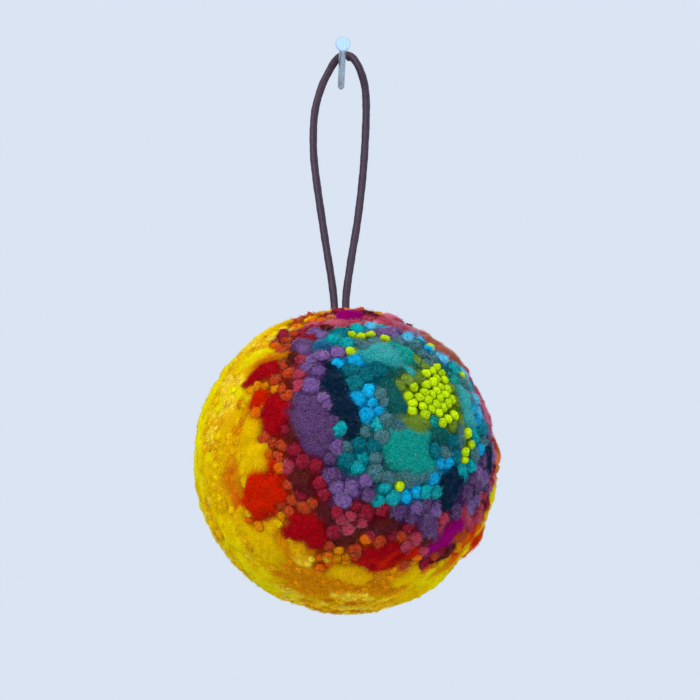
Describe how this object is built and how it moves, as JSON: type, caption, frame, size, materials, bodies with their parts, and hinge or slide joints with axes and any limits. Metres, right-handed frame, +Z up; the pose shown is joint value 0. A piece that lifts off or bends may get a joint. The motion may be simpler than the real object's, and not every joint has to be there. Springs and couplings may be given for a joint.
{
  "type": "yarn pom pom and nail",
  "caption": "Round trimmed pom pom of many-coloured wool yarn, hung by a leather cord loop on a round-headed nail, with its back resting against the wall.",
  "frame": {"origin": "where the nail's centreline enters the wall plane y = 0", "axes": "+Z up, +Y into the wall, +X to the right seen from the front; the pom pom hangs on the -Y side"},
  "size_m": [0.0749, 0.0867, 0.1445],
  "materials": {
    "pompom_yarn": "dense cut wool yarn, fuzzy, in concentric rings of colour",
    "hanging_cord": "round leather cord, dark brown, slightly worn",
    "nail_steel": "bright drawn steel wire"
  },
  "bodies": {
    "root": {"pompom": "pompom_yarn", "hanging_loop": "hanging_cord", "nail": "nail_steel"}
  },
  "joints": []
}
